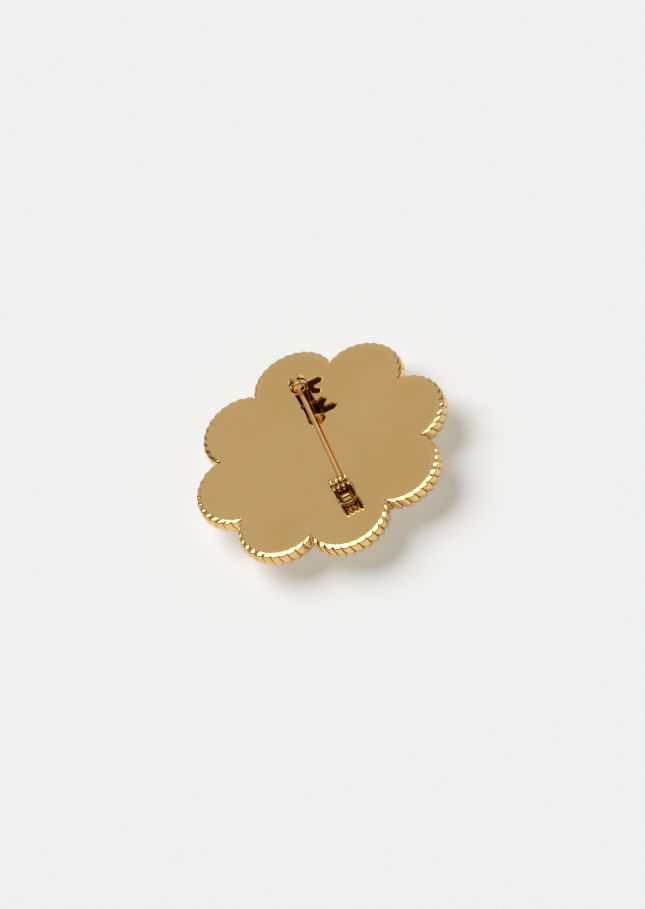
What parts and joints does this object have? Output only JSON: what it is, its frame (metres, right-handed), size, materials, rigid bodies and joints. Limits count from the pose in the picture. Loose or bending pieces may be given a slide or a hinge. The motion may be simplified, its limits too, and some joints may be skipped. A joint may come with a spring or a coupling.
{
  "type": "flower brooch",
  "caption": "Gold flower brooch lying face down: flat polished back with round petals, twisted rope rim, pin on a hinge and a safety catch with a fishtail lever.",
  "frame": {"origin": "on the surface that the brooch lies on, below the middle of the flower", "axes": "+Z out of the polished back, +Y along the pin from its hinge to its catch, +X to the side that the catch lever points to"},
  "size_m": [0.0498, 0.0498, 0.0136],
  "materials": {
    "polished_back": "mirror polished gold plate",
    "rope_gold": "polished gold plate on cast strands",
    "front_gold": "soft polished gold plate",
    "finding_gold": "bright gold plate on stamped sheet",
    "pin_gold": "bright gold plate on drawn wire"
  },
  "bodies": {
    "root": {"back_plate": "polished_back", "rope_rim": "rope_gold", "petal_front": "front_gold", "flower_centre": "front_gold", "hinge_bracket": "finding_gold", "hinge_rivet": "finding_gold", "catch_housing": "finding_gold"},
    "pin": {"pin_stem": "pin_gold"},
    "roller": {"catch_roller": "finding_gold"}
  },
  "joints": [
    {"name": "pin_swing", "type": "hinge", "parent": "root", "child": "pin", "pos_m": [0.00135, -0.01285, 0.0106], "axis": [1, 0, 0], "range_deg": [0, 95]},
    {"name": "catch_turn", "type": "hinge", "parent": "root", "child": "roller", "pos_m": [0.0011, 0.0121, 0.01195], "axis": [0, -1, 0], "range_deg": [0, 170]}
  ]
}
